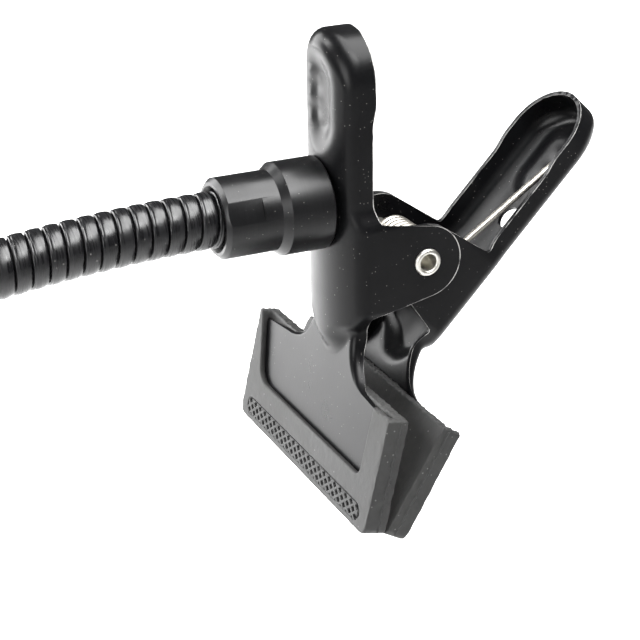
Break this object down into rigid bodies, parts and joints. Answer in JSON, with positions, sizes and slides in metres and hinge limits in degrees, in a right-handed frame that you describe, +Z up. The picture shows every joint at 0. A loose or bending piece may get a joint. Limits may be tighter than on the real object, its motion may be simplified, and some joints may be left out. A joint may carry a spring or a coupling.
{
  "type": "spring clamp on a gooseneck arm",
  "caption": "Black pressed-steel spring clamp with wide rubber-booted jaws, its handle screwed to a collar on a flexible gooseneck arm.",
  "frame": {"origin": "middle of the line where the two rubber jaws meet when closed", "axes": "+Z up along the outer lever's handle, +X from the outer lever towards the inner lever and away from the gooseneck, Y along the pivot rivet"},
  "size_m": [0.313, 0.0896, 0.1363],
  "materials": {
    "lever_paint": "satin black stove enamel with thin bright sheet edges",
    "jaw_rubber": "matte moulded black rubber",
    "rivet_plate": "bright nickel plate",
    "spring_wire": "bright drawn wire",
    "collar_finish": "satin black, turned",
    "screw_black": "black oxide",
    "washer_plate": "zinc plate",
    "arm_wrap": "gloss black lacquer",
    "arm_core": "plain steel wire"
  },
  "bodies": {
    "outer_half": {"outer_lever": "lever_paint", "outer_jaw_boot": "jaw_rubber", "pivot_rivet": "rivet_plate", "torsion_spring": "spring_wire", "clamp_collar": "collar_finish", "collar_screw": "screw_black", "lock_washer": "washer_plate", "gooseneck_wrap_0": "arm_wrap", "gooseneck_core_0": "arm_core"},
    "inner_half": {"inner_lever": "lever_paint", "inner_jaw_boot": "jaw_rubber"},
    "arm_1": {"gooseneck_wrap_1": "arm_wrap", "gooseneck_core_1": "arm_core"},
    "arm_2": {"gooseneck_wrap_2": "arm_wrap", "gooseneck_core_2": "arm_core"},
    "arm_3": {"gooseneck_wrap_3": "arm_wrap", "gooseneck_core_3": "arm_core"},
    "arm_4": {"gooseneck_wrap_4": "arm_wrap", "gooseneck_core_4": "arm_core"},
    "arm_5": {"gooseneck_wrap_5": "arm_wrap", "gooseneck_core_5": "arm_core"},
    "arm_6": {"gooseneck_wrap_6": "arm_wrap", "gooseneck_core_6": "arm_core"},
    "arm_7": {"gooseneck_wrap_7": "arm_wrap", "gooseneck_core_7": "arm_core"},
    "arm_8": {"gooseneck_wrap_8": "arm_wrap", "gooseneck_core_8": "arm_core", "end_collar": "collar_finish"}
  },
  "joints": [
    {"name": "jaw_pivot", "type": "hinge", "parent": "outer_half", "child": "inner_half", "pos_m": [0.02728, 0, 0.0675], "axis": [0, -1, 0], "range_deg": [0, 50], "stiffness_Nm_per_rad": 0.46, "springref_deg": -91.67, "deforming": ["torsion_spring"]},
    {"name": "arm_bend_1", "type": "hinge", "parent": "outer_half", "child": "arm_1", "pos_m": [-0.04012, 0, 0.0843], "axis": [0, 1, 0], "range_deg": [-25, 25], "deforming": ["gooseneck_wrap_1", "gooseneck_core_1"]},
    {"name": "arm_bend_2", "type": "hinge", "parent": "arm_1", "child": "arm_2", "pos_m": [-0.0601, 0, 0.0835], "axis": [-0.06, 0, 0.9982], "range_deg": [-25, 25], "deforming": ["gooseneck_wrap_2", "gooseneck_core_2"]},
    {"name": "arm_bend_3", "type": "hinge", "parent": "arm_2", "child": "arm_3", "pos_m": [-0.08003, 0, 0.0819], "axis": [0, 1, 0], "range_deg": [-25, 25], "deforming": ["gooseneck_wrap_3", "gooseneck_core_3"]},
    {"name": "arm_bend_4", "type": "hinge", "parent": "arm_3", "child": "arm_4", "pos_m": [-0.09989, 0, 0.07951], "axis": [-0.1395, 0, 0.9902], "range_deg": [-25, 25], "deforming": ["gooseneck_wrap_4", "gooseneck_core_4"]},
    {"name": "arm_bend_5", "type": "hinge", "parent": "arm_4", "child": "arm_5", "pos_m": [-0.11963, 0, 0.07632], "axis": [0, 1, 0], "range_deg": [-25, 25], "deforming": ["gooseneck_wrap_5", "gooseneck_core_5"]},
    {"name": "arm_bend_6", "type": "hinge", "parent": "arm_5", "child": "arm_6", "pos_m": [-0.13923, 0, 0.07235], "axis": [-0.2182, 0, 0.9759], "range_deg": [-25, 25], "deforming": ["gooseneck_wrap_6", "gooseneck_core_6"]},
    {"name": "arm_bend_7", "type": "hinge", "parent": "arm_6", "child": "arm_7", "pos_m": [-0.15866, 0, 0.0676], "axis": [0, 1, 0], "range_deg": [-25, 25], "deforming": ["gooseneck_wrap_7", "gooseneck_core_7"]},
    {"name": "arm_bend_8", "type": "hinge", "parent": "arm_7", "child": "arm_8", "pos_m": [-0.17788, 0, 0.06207], "axis": [-0.2955, 0, 0.9553], "range_deg": [-25, 25], "deforming": ["gooseneck_wrap_8", "gooseneck_core_8"]}
  ]
}
